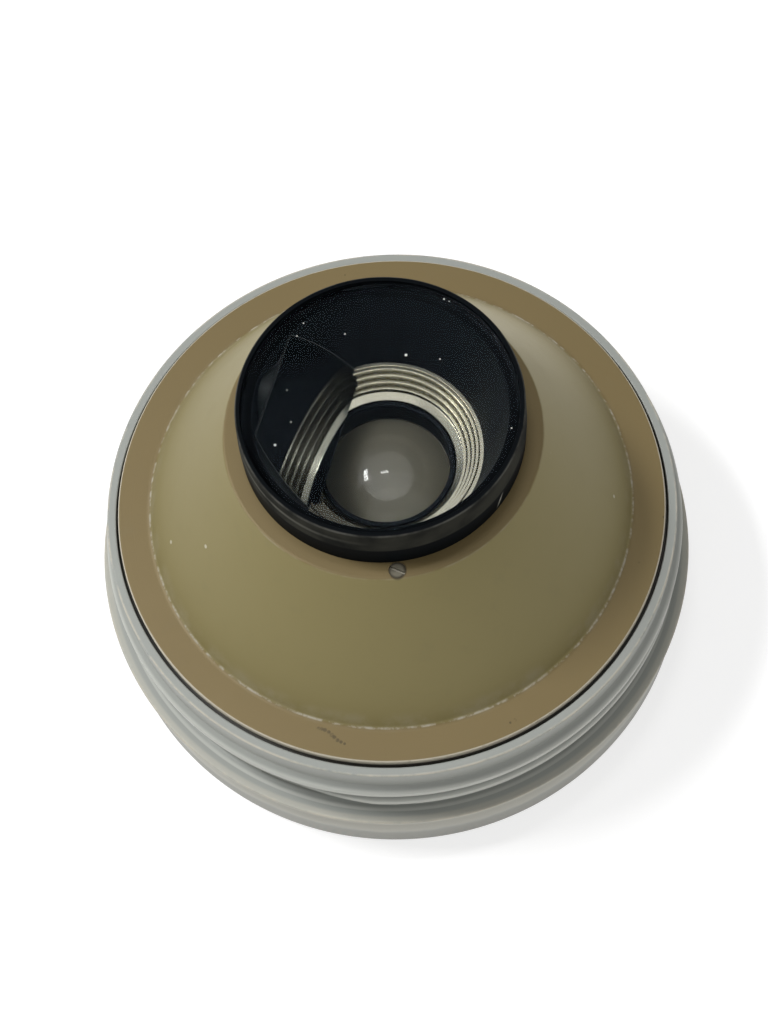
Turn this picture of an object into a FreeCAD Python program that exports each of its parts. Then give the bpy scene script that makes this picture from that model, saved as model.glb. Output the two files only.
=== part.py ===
# A single-mirror gonioscopy lens, observer's window up, standing in the threaded
# base of its storage case. Millimetres, +Z up, origin at the centre of the base's foot.
import FreeCAD
import Part

import math
import os

from FreeCAD import Vector

# contact lens: a steep dome inside, a flange in the cell and a hollow contact face
lens_dome_radius = 5.7
lens_dome_rise = 2.8
lens_seat_width = 0.7
lens_flange_height = 3.7
lens_nose_step = 0.6
lens_nose_height = 3.4
contact_lip = 0.3
contact_curve_radius = 7.8

# black cell that holds the contact lens
dome_clearance = 0.1
cell_neck_wall = 0.42
cell_neck_height = 0.75
cell_bore_depth = 2.55
cell_flange_height = 5.1
cell_tube_wall = 0.975
cell_tube_height = 2.1
lens_clearance = 0.05

# ring nuts that hold the lens in the cell and the cell in the barrel
retainer_height = 1.5
retainer_overhang = 0.675
nut_height = 1.4
spanner_slot_width = 1.0
spanner_slot_depth = 0.6

# bright ring above the cell, and the bright grooved throat ring on top of it
neck_clearance = 0.08
clamp_ring_height = 1.2
clamp_ring_slope_width = 0.7
clamp_ring_slope_height = 0.5
throat_height = 2.3
throat_flare = 1.5
throat_land = 0.3
throat_steps = 4
throat_groove_height = 0.16
throat_groove_depth = 0.12
stack_clearance = 0.05

# black barrel: a collar above the ledge, a spigot in the shell's hub and a long tube
shoulder_width = 0.5
barrel_wall = 1.3
spigot_step = 1.4
spigot_clearance = 0.05
collar_overhang = 0.5
collar_wall_height = 2.45
collar_height = 5.2
collar_taper = 0.15
collar_lip = 0.45
shoulder_depth = 4.25

# observer's window in the barrel's mouth
window_thickness = 1.4
window_inset = 0.12
window_bevel = 0.18
window_clearance = 0.03
window_seat_width = 0.87

# inclined mirror and the wedge that carries it
mirror_angle = 59.0
mirror_direction = -22.3
mirror_foot_width = 4.42
mirror_foot_drop = 0.9
mirror_thickness = 1.2
mirror_clearance = 0.04
notch_clearance = 0.08

# slotted lock screw in the ledge
screw_radius = 0.7
screw_length = 2.5
screw_clearance = 0.02
screw_slot_width = 0.22
screw_slot_depth = 0.35
screw_slot_angle = -30.0
screw_angle = -91.0
screw_edge_gap = 0.05
screw_sink = 0.03

# gold shell: a wide flat rim, a steep cone and a narrow ledge at its top
cone_height = 14.2
cone_spread = 8.75
rim_width = 3.1
rim_thickness = 1.45
shell_wall = 1.5
hub_depth = 3.4

# coarse thread on the case's neck, one ridge that runs into the neck at both ends
thread_pitch = 2.7
thread_turns = 1.5
thread_start_angle = -124.0
thread_above_flange = 2.35
thread_below_top = 2.6
thread_height = 0.75
thread_root_width = 2.3
thread_crest_width = 0.7
thread_fade_angle = 24.0
thread_end_sink = 0.12
thread_step_angle = 8.0

# storage case base
flange_height = 8.0
flange_overhang = 2.0
wall_set_back = 0.25
waist_set_back = 0.6
waist_height = 6.4
lower_wall_height = 4.6
foot_round = 0.7
foot_ring_width = 3.0
foot_recess_depth = 0.8
floor_thickness = 2.2
rim_clearance = 0.3
rim_seat_width = 0.85
rim_stand = 0.65
mouth_lip = 0.85
edge_break = 0.15

# radii that follow from the sizes above, from the lens outwards
cell_bore_radius = lens_dome_radius + dome_clearance
cell_neck_radius = cell_bore_radius + cell_neck_wall
lens_flange_radius = cell_bore_radius + lens_seat_width
lens_nose_radius = lens_flange_radius - lens_nose_step
retainer_radius = lens_flange_radius + retainer_overhang
cell_tube_radius = retainer_radius + lens_clearance + cell_tube_wall
clamp_ring_bore = cell_neck_radius + neck_clearance
throat_low_radius = clamp_ring_bore + clamp_ring_slope_width
throat_top_radius = throat_low_radius + throat_flare
bore_low_radius = throat_top_radius + throat_land
chamber_radius = bore_low_radius + shoulder_width
stack_radius = chamber_radius - stack_clearance
barrel_radius = chamber_radius + barrel_wall
spigot_radius = barrel_radius + spigot_step
collar_radius = spigot_radius + collar_overhang
collar_top_radius = collar_radius - collar_taper
window_seat_radius = collar_top_radius - collar_lip
window_radius = window_seat_radius - window_clearance
bore_top_radius = window_radius - window_seat_width
screw_centre_radius = collar_radius + screw_edge_gap + screw_radius
ledge_radius = screw_centre_radius + screw_radius + screw_edge_gap
cone_foot_radius = ledge_radius + cone_spread
rim_radius = cone_foot_radius + rim_width
mouth_radius = rim_radius + rim_clearance
well_radius = rim_radius - rim_seat_width
neck_radius = mouth_radius + mouth_lip
flange_radius = neck_radius + flange_overhang
cone_slope = cone_spread / cone_height
inner_cone_shift = shell_wall / math.cos(math.atan(cone_slope))

# heights that follow from the sizes above, from the foot upwards
thread_rise = thread_pitch * thread_turns
thread_start_height = flange_height + thread_above_flange
case_height = thread_start_height + thread_rise + thread_below_top
rim_top = case_height + rim_stand
rim_bottom = rim_top - rim_thickness
ledge_height = rim_top + cone_height
hub_bottom = ledge_height - hub_depth
collar_top = ledge_height + collar_height
window_top = collar_top - window_inset
window_bottom = window_top - window_thickness
shoulder_height = ledge_height - shoulder_depth
mirror_foot_height = shoulder_height - mirror_foot_drop
throat_bottom = shoulder_height - throat_height
clamp_bottom = throat_bottom - clamp_ring_height
cell_top = clamp_bottom + cell_neck_height
lens_seat_height = cell_top - cell_bore_depth
lens_flange_bottom = lens_seat_height - lens_flange_height
lens_rim_height = lens_flange_bottom - lens_nose_height
cell_flange_bottom = clamp_bottom - cell_flange_height
cell_bottom = cell_flange_bottom - cell_tube_height
barrel_bottom = cell_flange_bottom - nut_height

# a size for cutting shapes that only has to reach past the whole part
reach = 4 * flange_radius


def turned(edges):
    """A solid of revolution about Z from edges that close one outline in the XZ plane."""
    face = Part.Face(Part.Wire(Part.__sortEdges__(edges)))
    return face.revolve(Vector(0, 0, 0), Vector(0, 0, 1), 360)


def lines(points, closed=False):
    """Straight edges through (radius, height) points, back to the first one if closed."""
    corners = [Vector(radius, 0, height) for radius, height in points]
    ends = corners[1:] + [corners[0]] if closed else corners[1:]
    return [Part.LineSegment(start, end).toShape() for start, end in zip(corners, ends)]


def arc(start, middle, end):
    """An arc through three (radius, height) points."""
    points = [Vector(radius, 0, height) for radius, height in (start, middle, end)]
    return Part.Arc(*points).toShape()


def crown(radius, curve, top):
    """An arc from the axis at its top out to a radius, curved about a point below."""
    half = math.asin(radius / curve) / 2
    middle = (curve * math.sin(half), top - curve * (1 - math.cos(half)))
    return arc((0, top), middle, (radius, top - crown_rise(radius, curve)))


def crown_rise(radius, curve):
    """How far a crown of a curve radius rises over its own radius."""
    return curve - math.sqrt(curve ** 2 - radius ** 2)


def disc(radius, bottom, height):
    """A plain upright cylinder about Z."""
    return Part.makeCylinder(radius, height, Vector(0, 0, bottom))


def inner_cone_radius(height):
    """Radius of the hollow under the gold cone at a height."""
    return cone_foot_radius - (height - rim_top) * cone_slope - inner_cone_shift


def bore_radius(height):
    """Radius of the barrel's tapered black bore at a height."""
    share = (window_bottom - height) / (window_bottom - shoulder_height)
    return bore_top_radius + (bore_low_radius - bore_top_radius) * share


def thread_spine():
    """The helix at the root of the thread, drawn into the neck over a short turn at each end."""
    total = 360.0 * thread_turns
    steps = int(round(total / thread_step_angle))
    deepest = thread_height + thread_end_sink
    points = []
    for index in range(steps + 1):
        turn = total * index / steps
        nearest_end = min(turn, total - turn)
        sink = deepest * max(0.0, 1.0 - nearest_end / thread_fade_angle)
        angle = math.radians(thread_start_angle + turn)
        radius = neck_radius - sink
        height = thread_start_height + thread_rise * index / steps
        points.append(Vector(radius * math.cos(angle), radius * math.sin(angle), height))
    return points


def thread_ridge():
    """The neck's coarse helical ridge, a sloped section carried along the spine."""
    points = thread_spine()
    curve = Part.BSplineCurve()
    curve.interpolate(points)
    outward = Vector(points[0].x, points[0].y, 0).normalize()
    section = [(-edge_break, -thread_root_width / 2), (0, -thread_root_width / 2),
               (thread_height, -thread_crest_width / 2), (thread_height, thread_crest_width / 2),
               (0, thread_root_width / 2), (-edge_break, thread_root_width / 2)]
    corners = [points[0] + outward * out + Vector(0, 0, up) for out, up in section]
    pipe = Part.BRepOffsetAPI.MakePipeShell(Part.Wire([curve.toShape()]))
    pipe.setBiNormalMode(Vector(0, 0, 1))
    pipe.add(Part.makePolygon(corners + [corners[0]]))
    pipe.build()
    pipe.makeSolid()
    return pipe.shape()


def case_base():
    """Moulded base: foot ring, waisted wall, flange, neck with a coarse thread and a seat."""
    wall_radius = flange_radius - wall_set_back
    foot_radius = wall_radius - foot_round
    recess_radius = foot_radius - foot_ring_width
    floor_top = foot_recess_depth + floor_thickness
    round_share = math.sin(math.pi / 4)
    round_middle = (foot_radius + foot_round * round_share, foot_round * (1 - round_share))
    inside = lines([(wall_radius, foot_round), (wall_radius, lower_wall_height),
                    (flange_radius - waist_set_back, waist_height),
                    (flange_radius, flange_height - edge_break),
                    (flange_radius - edge_break, flange_height),
                    (neck_radius, flange_height),
                    (neck_radius, case_height - edge_break),
                    (neck_radius - edge_break, case_height),
                    (mouth_radius, case_height),
                    (mouth_radius, rim_bottom),
                    (well_radius, rim_bottom),
                    (well_radius, floor_top),
                    (0, floor_top),
                    (0, foot_recess_depth),
                    (recess_radius, foot_recess_depth),
                    (recess_radius, 0),
                    (foot_radius, 0)])
    body = turned(inside + [arc((foot_radius, 0), round_middle, (wall_radius, foot_round))])
    return body.fuse(thread_ridge()).removeSplitter()


def screw_place():
    """Plan position of the lock screw, between the collar's foot and the ledge's edge."""
    angle = math.radians(screw_angle)
    return screw_centre_radius * math.cos(angle), screw_centre_radius * math.sin(angle)


def lens_shell():
    """Turned gold shell: flat rim, steep cone, ledge, hub bore and the hollow below."""
    bore = spigot_radius + spigot_clearance
    shell = turned(lines([
        (bore, ledge_height),
        (ledge_radius - edge_break, ledge_height),
        (ledge_radius, ledge_height - edge_break),
        (cone_foot_radius, rim_top),
        (rim_radius - edge_break, rim_top),
        (rim_radius, rim_top - edge_break),
        (rim_radius, rim_bottom + edge_break),
        (rim_radius - edge_break, rim_bottom),
        (inner_cone_radius(rim_bottom), rim_bottom),
        (inner_cone_radius(hub_bottom), hub_bottom),
        (bore, hub_bottom),
    ], closed=True))
    x, y = screw_place()
    depth = screw_sink + screw_length + screw_clearance
    hole = Part.makeCylinder(screw_radius + screw_clearance, depth + reach,
                             Vector(x, y, ledge_height - depth))
    return shell.cut(hole)


def optic_barrel():
    """Black barrel: collar, window seat, spigot, tapered bore and the cell's chamber."""
    return turned(lines([
        (window_seat_radius, collar_top),
        (collar_top_radius - edge_break, collar_top),
        (collar_top_radius, collar_top - edge_break),
        (collar_radius, ledge_height + collar_wall_height),
        (collar_radius, ledge_height),
        (spigot_radius, ledge_height),
        (spigot_radius, hub_bottom),
        (barrel_radius, hub_bottom),
        (barrel_radius, barrel_bottom),
        (chamber_radius, barrel_bottom),
        (chamber_radius, shoulder_height),
        (bore_low_radius, shoulder_height),
        (bore_top_radius, window_bottom),
        (window_seat_radius, window_bottom),
    ], closed=True))


def observer_window():
    """Flat glass disc with fine bevels, seated in the barrel's mouth."""
    return turned(lines([
        (0, window_bottom),
        (window_radius - window_bevel, window_bottom),
        (window_radius, window_bottom + window_bevel),
        (window_radius, window_top - window_bevel),
        (window_radius - window_bevel, window_top),
        (0, window_top),
    ], closed=True))


def mirror_space():
    """The space in the tapered bore, less a clearance, from the mirror's foot to the window."""
    foot_radius = bore_radius(mirror_foot_height) - mirror_clearance
    head_radius = bore_radius(window_bottom) - mirror_clearance
    return turned(lines([
        (0, mirror_foot_height),
        (foot_radius, mirror_foot_height),
        (head_radius, window_bottom - mirror_clearance),
        (0, window_bottom - mirror_clearance),
    ], closed=True))


def behind_mirror(depth):
    """The half space that lies further than a depth behind the mirror's face."""
    block = Part.makeBox(reach, 2 * reach, 2 * reach, Vector(-reach - depth, -reach, -reach))
    block.rotate(Vector(0, 0, 0), Vector(0, 1, 0), mirror_angle - 90.0)
    block.translate(Vector(mirror_foot_width - bore_low_radius, 0, mirror_foot_height))
    block.rotate(Vector(0, 0, 0), Vector(0, 0, 1), mirror_direction)
    return block


def gonio_mirror():
    """Mirror plate with its face towards the axis and the window, trimmed to the bore."""
    return mirror_space().common(behind_mirror(0.0)).cut(behind_mirror(mirror_thickness))


def mirror_wedge():
    """Black wedge that fills the bore behind the mirror plate."""
    return mirror_space().common(behind_mirror(mirror_thickness))


def throat_ring():
    """Bright ring with a grooved funnel, notched where the mirror's foot stands in it."""
    points = [(stack_radius, shoulder_height), (stack_radius, throat_bottom)]
    step_height = throat_height / throat_steps
    for step in range(throat_steps):
        radius = throat_low_radius + throat_flare * step / throat_steps
        low = throat_bottom + step_height * step
        groove_low = low + (step_height - throat_groove_height) / 2
        points.append((radius, low))
        points.append((radius + throat_groove_depth, groove_low))
        points.append((radius + throat_groove_depth, groove_low + throat_groove_height))
    points.append((throat_top_radius, shoulder_height))
    notch_height = mirror_foot_height - notch_clearance
    notch = behind_mirror(-notch_clearance).common(disc(bore_low_radius, notch_height, reach))
    return turned(lines(points, closed=True)).cut(notch)


def clamp_ring():
    """Bright ring under the throat, sloping in to the neck of the lens cell."""
    return turned(lines([
        (stack_radius, throat_bottom),
        (stack_radius, clamp_bottom),
        (clamp_ring_bore, clamp_bottom),
        (clamp_ring_bore, throat_bottom - clamp_ring_slope_height),
        (throat_low_radius, throat_bottom),
    ], closed=True))


def lens_cell():
    """Black cell: a neck that rises in the clamp ring, a flange and a tube for the lens."""
    seat_radius = lens_flange_radius + lens_clearance
    retainer_bore = retainer_radius + lens_clearance
    return turned(lines([
        (cell_bore_radius, cell_top),
        (cell_neck_radius, cell_top),
        (cell_neck_radius, clamp_bottom),
        (stack_radius, clamp_bottom),
        (stack_radius, cell_flange_bottom),
        (cell_tube_radius, cell_flange_bottom),
        (cell_tube_radius, cell_bottom),
        (retainer_bore, cell_bottom),
        (retainer_bore, lens_flange_bottom),
        (seat_radius, lens_flange_bottom),
        (seat_radius, lens_seat_height),
        (cell_bore_radius, lens_seat_height),
    ], closed=True))


def contact_lens():
    """Thick contact lens: convex dome above, flange, nose and a hollow contact face."""
    dome_curve = (lens_dome_radius ** 2 + lens_dome_rise ** 2) / (2 * lens_dome_rise)
    dome_top = lens_seat_height + lens_dome_rise
    dish_radius = lens_nose_radius - contact_lip
    dish_top = lens_rim_height + crown_rise(dish_radius, contact_curve_radius)
    sides = lines([
        (lens_dome_radius, lens_seat_height),
        (lens_flange_radius, lens_seat_height),
        (lens_flange_radius, lens_flange_bottom),
        (lens_nose_radius, lens_flange_bottom),
        (lens_nose_radius, lens_rim_height),
        (dish_radius, lens_rim_height),
    ])
    dome = crown(lens_dome_radius, dome_curve, dome_top)
    dish = crown(dish_radius, contact_curve_radius, dish_top)
    return turned(sides + [dish, dome] + lines([(0, dish_top), (0, dome_top)]))


def slotted_ring(inner, outer, bottom, height):
    """A flat ring nut with two spanner slots across its lower face."""
    slot = Part.makeBox(2 * outer, spanner_slot_width, spanner_slot_depth,
                        Vector(-outer, -spanner_slot_width / 2, bottom))
    return disc(outer, bottom, height).cut(disc(inner, bottom, height)).cut(slot)


def lens_retainer():
    """Ring nut that holds the contact lens's flange up in the cell."""
    return slotted_ring(lens_nose_radius + lens_clearance, retainer_radius,
                        lens_flange_bottom - retainer_height, retainer_height)


def barrel_nut():
    """Ring nut in the barrel's lower end that clamps the cell and both bright rings."""
    return slotted_ring(cell_tube_radius + lens_clearance, stack_radius,
                        barrel_bottom, nut_height)


def lock_screw():
    """Small headless slotted screw, sunk just below the ledge beside the collar."""
    x, y = screw_place()
    top = ledge_height - screw_sink
    screw = Part.makeCylinder(screw_radius, screw_length, Vector(x, y, top - screw_length))
    slot = Part.makeBox(4 * screw_radius, screw_slot_width, screw_slot_depth,
                        Vector(-2 * screw_radius, -screw_slot_width / 2, -screw_slot_depth))
    slot.rotate(Vector(0, 0, 0), Vector(0, 0, 1), screw_slot_angle)
    slot.translate(Vector(x, y, top))
    return screw.cut(slot)


def write(node, shape):
    """Writes one node's closed solid to its own file and prints its size."""
    shape.exportStep("parts/" + node + ".step")
    box = shape.BoundBox
    print("%-16s solids %d valid %s volume %9.2f z %.2f to %.2f" % (
        node, len(shape.Solids), shape.isValid(), shape.Volume, box.ZMin, box.ZMax))


os.makedirs("parts", exist_ok=True)
write("case_base", case_base())
write("lens_shell", lens_shell())
write("optic_barrel", optic_barrel())
write("observer_window", observer_window())
write("gonio_mirror", gonio_mirror())
write("mirror_wedge", mirror_wedge())
write("throat_ring", throat_ring())
write("clamp_ring", clamp_ring())
write("lens_cell", lens_cell())
write("contact_lens", contact_lens())
write("lens_retainer", lens_retainer())
write("barrel_nut", barrel_nut())
write("lock_screw", lock_screw())
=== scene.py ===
# A gonioscopy lens in the threaded base of its case, dressed for a studio picture.
import math

import bpy
import numpy as np
from mathutils import Matrix, Vector


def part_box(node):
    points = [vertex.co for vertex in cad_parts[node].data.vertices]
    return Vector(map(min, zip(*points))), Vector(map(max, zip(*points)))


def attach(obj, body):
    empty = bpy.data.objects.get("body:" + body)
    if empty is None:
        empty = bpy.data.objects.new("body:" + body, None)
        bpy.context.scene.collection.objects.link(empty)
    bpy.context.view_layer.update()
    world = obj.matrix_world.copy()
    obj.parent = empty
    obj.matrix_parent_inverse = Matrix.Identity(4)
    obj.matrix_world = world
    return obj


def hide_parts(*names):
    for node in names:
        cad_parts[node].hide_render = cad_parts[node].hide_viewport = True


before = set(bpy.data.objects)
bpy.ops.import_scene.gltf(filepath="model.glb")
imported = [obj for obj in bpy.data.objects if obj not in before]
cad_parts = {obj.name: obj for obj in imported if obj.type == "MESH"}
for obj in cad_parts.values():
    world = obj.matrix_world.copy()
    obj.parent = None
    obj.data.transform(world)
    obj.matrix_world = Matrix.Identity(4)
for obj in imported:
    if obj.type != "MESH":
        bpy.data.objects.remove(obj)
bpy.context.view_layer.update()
mm = 0.001
tiny = 1e-9


def cadSize(node):
    # outer radius, lowest and highest point of a CAD node, in millimetres
    low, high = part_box(node)
    return high.x / mm, low.z / mm, high.z / mm


def placeThing(name, data):
    thing = bpy.data.objects.new(name, data)
    bpy.context.scene.collection.objects.link(thing)
    return thing


# camera, fitted to the circles of the picture
photoView = {
    "elevation": 66.27,           # degrees above the horizon
    "roll": -6.88,
    "aimPixel": (390.3, 499.2),   # where the middle of the case's mouth lies in the picture
    "aimHeight": 16.93,
    "distance": 170.6,            # along the line of sight, millimetres
    "focalPixels": 1800.0,
    "picture": (768, 1024),
    "sensor": 36.0,
}


def addCamera(view):
    tilt = math.radians(view["elevation"])
    roll = math.radians(view["roll"])
    forward = Vector((0, math.cos(tilt), -math.sin(tilt)))
    level = Vector((1, 0, 0))
    upright = level.cross(forward)
    right = math.cos(roll) * level + math.sin(roll) * upright
    up = math.cos(roll) * upright - math.sin(roll) * level
    wide, high = view["picture"]
    across = (view["aimPixel"][0] - wide / 2) / view["focalPixels"] * view["distance"]
    above = (high / 2 - view["aimPixel"][1]) / view["focalPixels"] * view["distance"]
    aim = Vector((0, 0, view["aimHeight"]))
    place = aim - (across * right + above * up + view["distance"] * forward)
    data = bpy.data.cameras.new("photoCamera")
    data.sensor_width = view["sensor"]
    data.lens = view["focalPixels"] / high * view["sensor"]
    data.clip_start = 0.005
    data.clip_end = 10.0
    camera = placeThing("photoCamera", data)
    turn = Matrix((right, up, -forward)).transposed()
    camera.matrix_world = Matrix.Translation(place * mm) @ turn.to_4x4()
    bpy.context.scene.camera = camera


addCamera(photoView)
print("camera placed")


# mesh making: surfaces on grids
def signedVolume(points, faces):
    # a sixth of the sum of the triple products of each triangle, positive if faces point out;
    # a quad is two triangles, and the second one of a triangle is empty
    total = 0.0
    for corners in (faces[:, (0, 1, 2)], faces[:, (0, 2, -1)]):
        a, b, c = (points[corners[:, i]] for i in range(3))
        total += np.einsum("ij,ij->", a, np.cross(b, c)) / 6
    return total


def roundAngles(count):
    return np.arange(count) / count * 2 * np.pi


def addPiece(name, points, faceSets, node):
    # one mesh in metres from points in millimetres and sets of quads and triangles
    points = np.asarray(points, float) * mm
    if sum(signedVolume(points, faces) for faces in faceSets) < 0:
        faceSets = [faces[:, ::-1] for faces in faceSets]
    loops = np.concatenate([faces.ravel() for faces in faceSets])
    sizes = np.concatenate([np.full(len(faces), faces.shape[1]) for faces in faceSets])
    starts = np.concatenate([[0], np.cumsum(sizes)[:-1]])
    mesh = bpy.data.meshes.new(name)
    mesh.vertices.add(len(points))
    mesh.vertices.foreach_set("co", points.astype(np.float32).ravel())
    mesh.loops.add(len(loops))
    mesh.loops.foreach_set("vertex_index", loops.astype(np.int32))
    mesh.polygons.add(len(sizes))
    mesh.polygons.foreach_set("loop_start", starts.astype(np.int32))
    mesh.polygons.foreach_set("use_smooth", np.full(len(sizes), True))
    mesh.update(calc_edges=True)
    mesh.validate()
    piece = placeThing(name, mesh)
    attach(piece, "root")
    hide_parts(node)
    return piece


def gridFaces(rows, columns, closedRows):
    # quads between neighbouring rows and columns; the columns always close on themselves
    i = np.arange(rows if closedRows else rows - 1)[:, None]
    j = np.arange(columns)[None, :]
    below = (i + 1) % rows
    beside = (j + 1) % columns
    quads = (i * columns + j, i * columns + beside, below * columns + beside, below * columns + j)
    return np.stack([part.ravel() for part in np.broadcast_arrays(*quads)], axis=1)


def softProfile(corners, closed=True, steps=5, support=0.35, share=0.35):
    # each corner (radius, height, rounding) becomes a parabola that touches both sides, and
    # takes no more than a share of either side, with one more point just outside each end of
    # it, so that flat faces stay flat
    count = len(corners)
    points = []
    for index, (radius, height, rounding) in enumerate(corners):
        here = np.array((radius, height), float)
        atEnd = not closed and index in (0, count - 1)
        if rounding == 0 or atEnd:
            points.append(here)
            continue
        before = np.array(corners[index - 1][:2], float) - here
        after = np.array(corners[(index + 1) % count][:2], float) - here
        reach = min(rounding, share * np.hypot(*before), share * np.hypot(*after))
        start = here + before / np.hypot(*before) * reach
        end = here + after / np.hypot(*after) * reach
        points.append(start + (start - here) * support)
        for t in np.linspace(0, 1, steps):
            points.append((1 - t) ** 2 * start + 2 * t * (1 - t) * here + t ** 2 * end)
        points.append(end + (end - here) * support)
    return np.array(points)


def turnedPiece(name, profile, node, segments=360, swell=None):
    # a profile of (radius, height) turned round Z: x = r cos a, y = r sin a; a profile that
    # starts and ends on the axis is closed by a fan at each end, any other by its own loop
    angle = roundAngles(segments)
    onAxis = profile[0, 0] < tiny
    body = profile[1:-1] if onAxis else profile
    radius = np.repeat(body[:, :1], segments, axis=1)
    height = np.repeat(body[:, 1:], segments, axis=1)
    if swell is not None:
        radius = radius + swell(radius, height, angle[None, :])
    points = np.stack([radius * np.cos(angle), radius * np.sin(angle), height], axis=2)
    points = points.reshape(-1, 3)
    rows = len(body)
    faceSets = [gridFaces(rows, segments, not onAxis)]
    if onAxis:
        poles = np.array([[0, 0, profile[0, 1]], [0, 0, profile[-1, 1]]])
        points = np.vstack([points, poles])
        j = np.arange(segments)
        beside = (j + 1) % segments
        firstPole = np.full(segments, rows * segments)
        lastRow = (rows - 1) * segments
        faceSets.append(np.stack([firstPole, beside, j], axis=1))
        faceSets.append(np.stack([firstPole + 1, lastRow + j, lastRow + beside], axis=1))
    return addPiece(name, points, faceSets, node)


# shader making: sums on sockets
class Wire:
    # one output socket of a finish, on which plain sums can be written
    def __init__(self, finish, socket):
        self.finish = finish
        self.socket = socket

    def also(self, name):
        return Wire(self.finish, self.socket.node.outputs[name])

    def maths(self, operation, first, second=0.0):
        return self.finish.node("ShaderNodeMath", {"operation": operation}, {0: first, 1: second})

    def fraction(self):
        return self.maths("FRACT", self)

    def __add__(self, other):
        return self.maths("ADD", self, other)

    __radd__ = __add__

    def __sub__(self, other):
        return self.maths("SUBTRACT", self, other)

    def __rsub__(self, other):
        return self.maths("SUBTRACT", other, self)

    def __mul__(self, other):
        return self.maths("MULTIPLY", self, other)

    __rmul__ = __mul__

    def __truediv__(self, other):
        return self.maths("DIVIDE", self, other)

    def __pow__(self, other):
        return self.maths("POWER", self, other)

    def __abs__(self):
        return self.maths("ABSOLUTE", self)


class Finish:
    # one material, built node by node
    def __init__(self, name):
        self.material = bpy.data.materials.new(name)
        self.material.use_nodes = True
        self.tree = self.material.node_tree
        self.tree.nodes.clear()
        self.place = self.node("ShaderNodeTexCoord").also("Object")
        self.x, self.y, self.z = (
            self.node("ShaderNodeSeparateXYZ", sockets={0: self.place}).also(axis) * 1000.0
            for axis in "XYZ")

    def node(self, kind, settings=None, sockets=None):
        made = self.tree.nodes.new(kind)
        for key, value in (settings or {}).items():
            setattr(made, key, value)
        for key, value in (sockets or {}).items():
            if isinstance(value, Wire):
                self.tree.links.new(value.socket, made.inputs[key])
            elif isinstance(value, tuple) and len(value) == 3 and len(
                    made.inputs[key].default_value) == 4:
                made.inputs[key].default_value = (*value, 1.0)
            else:
                made.inputs[key].default_value = value
        return Wire(self, made.outputs[0])

    def mix(self, factor, first, second):
        made = self.node("ShaderNodeMix", {"data_type": "RGBA"}, {0: factor, 6: first, 7: second})
        return Wire(self, made.socket.node.outputs[2])

    def ease(self, value, low, high):
        # 0 below low, 1 above high and a soft step between; the other way round if low > high
        return self.node("ShaderNodeMapRange", {"interpolation_type": "SMOOTHSTEP"},
                         {0: value, 1: low, 2: high})

    def hump(self, value, centre, reach):
        # 1 at the centre, 0 at a distance of reach on each side
        return self.ease(abs(value - centre), reach, 0.0)

    def noise(self, scale, detail, roughness=0.5):
        return self.node("ShaderNodeTexNoise", {"noise_dimensions": "3D"}, {
            "Vector": self.place, "Scale": scale, "Detail": detail, "Roughness": roughness})

    def cells(self, scale):
        # distance to the nearest of many scattered points, in cells
        return self.node("ShaderNodeTexVoronoi", {"feature": "F1"},
                         {"Vector": self.place, "Scale": scale})

    def streak(self, along, scale, detail):
        # noise that changes only with one value
        return self.node("ShaderNodeTexNoise", {"noise_dimensions": "1D"}, {
            "W": along, "Scale": scale, "Detail": detail})

    def radius(self):
        return (self.x * self.x + self.y * self.y) ** 0.5

    def angle(self):
        return self.x.maths("ARCTAN2", self.y, self.x)

    def distance(self, x, y):
        # in plan, from a place
        across = self.x - x
        away = self.y - y
        return (across * across + away * away) ** 0.5

    def spot(self, x, y, size):
        # 1 inside a round spot in plan and 0 outside, with a soft edge
        return self.ease(self.distance(x, y), size, size * 0.35)

    def bump(self, height, distance, strength=1.0, normal=None):
        sockets = {"Height": height, "Distance": distance * mm, "Strength": strength}
        if normal is not None:
            sockets["Normal"] = normal
        return self.node("ShaderNodeBump", sockets=sockets)

    def surface(self, sockets):
        return self.node("ShaderNodeBsdfPrincipled", sockets=sockets)

    def blend(self, factor, first, second):
        return self.node("ShaderNodeMixShader", sockets={0: factor, 1: first, 2: second})

    def letLightThrough(self, shader, tint):
        # shadow rays pass straight through, tinted
        clear = self.node("ShaderNodeBsdfTransparent", sockets={0: tint})
        return self.blend(self.node("ShaderNodeLightPath").also("Is Shadow Ray"), shader, clear)

    def done(self, shader):
        output = self.tree.nodes.new("ShaderNodeOutputMaterial")
        self.tree.links.new(shader.socket, output.inputs["Surface"])
        return self.material


def greatest(first, *others):
    for other in others:
        first = first.maths("MAXIMUM", first, other)
    return first


def dress(piece, material):
    piece.data.materials.clear()
    piece.data.materials.append(material)


def dressNode(node, material):
    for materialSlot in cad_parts[node].material_slots:
        materialSlot.material = material


# case base: grey moulded plastic with a coarse thread
flangeRadius, caseTop = cadSize("case_base")[::2]
caseSizes = {
    "neckRadius": 27.0,
    "wellRadius": 25.0,
    "mouthRadius": 26.15,
    "seatHeight": 16.2,
    "flangeHeight": 8.0,
    "floorTop": 3.0,
    "recessDepth": 0.8,
    "recessRadius": 25.05,
    "wallSetBack": 0.25,
    "waistSetBack": 0.6,
    "waistHeight": 6.4,
    "lowerWallHeight": 4.6,
    "threadPitch": 2.7,
    "threadTurns": 1.5,
    "threadStart": 10.35,
    "threadStartAngle": -124.0,
    "threadHeight": 0.75,
    "threadRoot": 2.3,
    "threadCrest": 0.7,
    "threadFade": 24.0,
    "threadSink": 0.87,
    "neckRows": 96,
}


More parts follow.
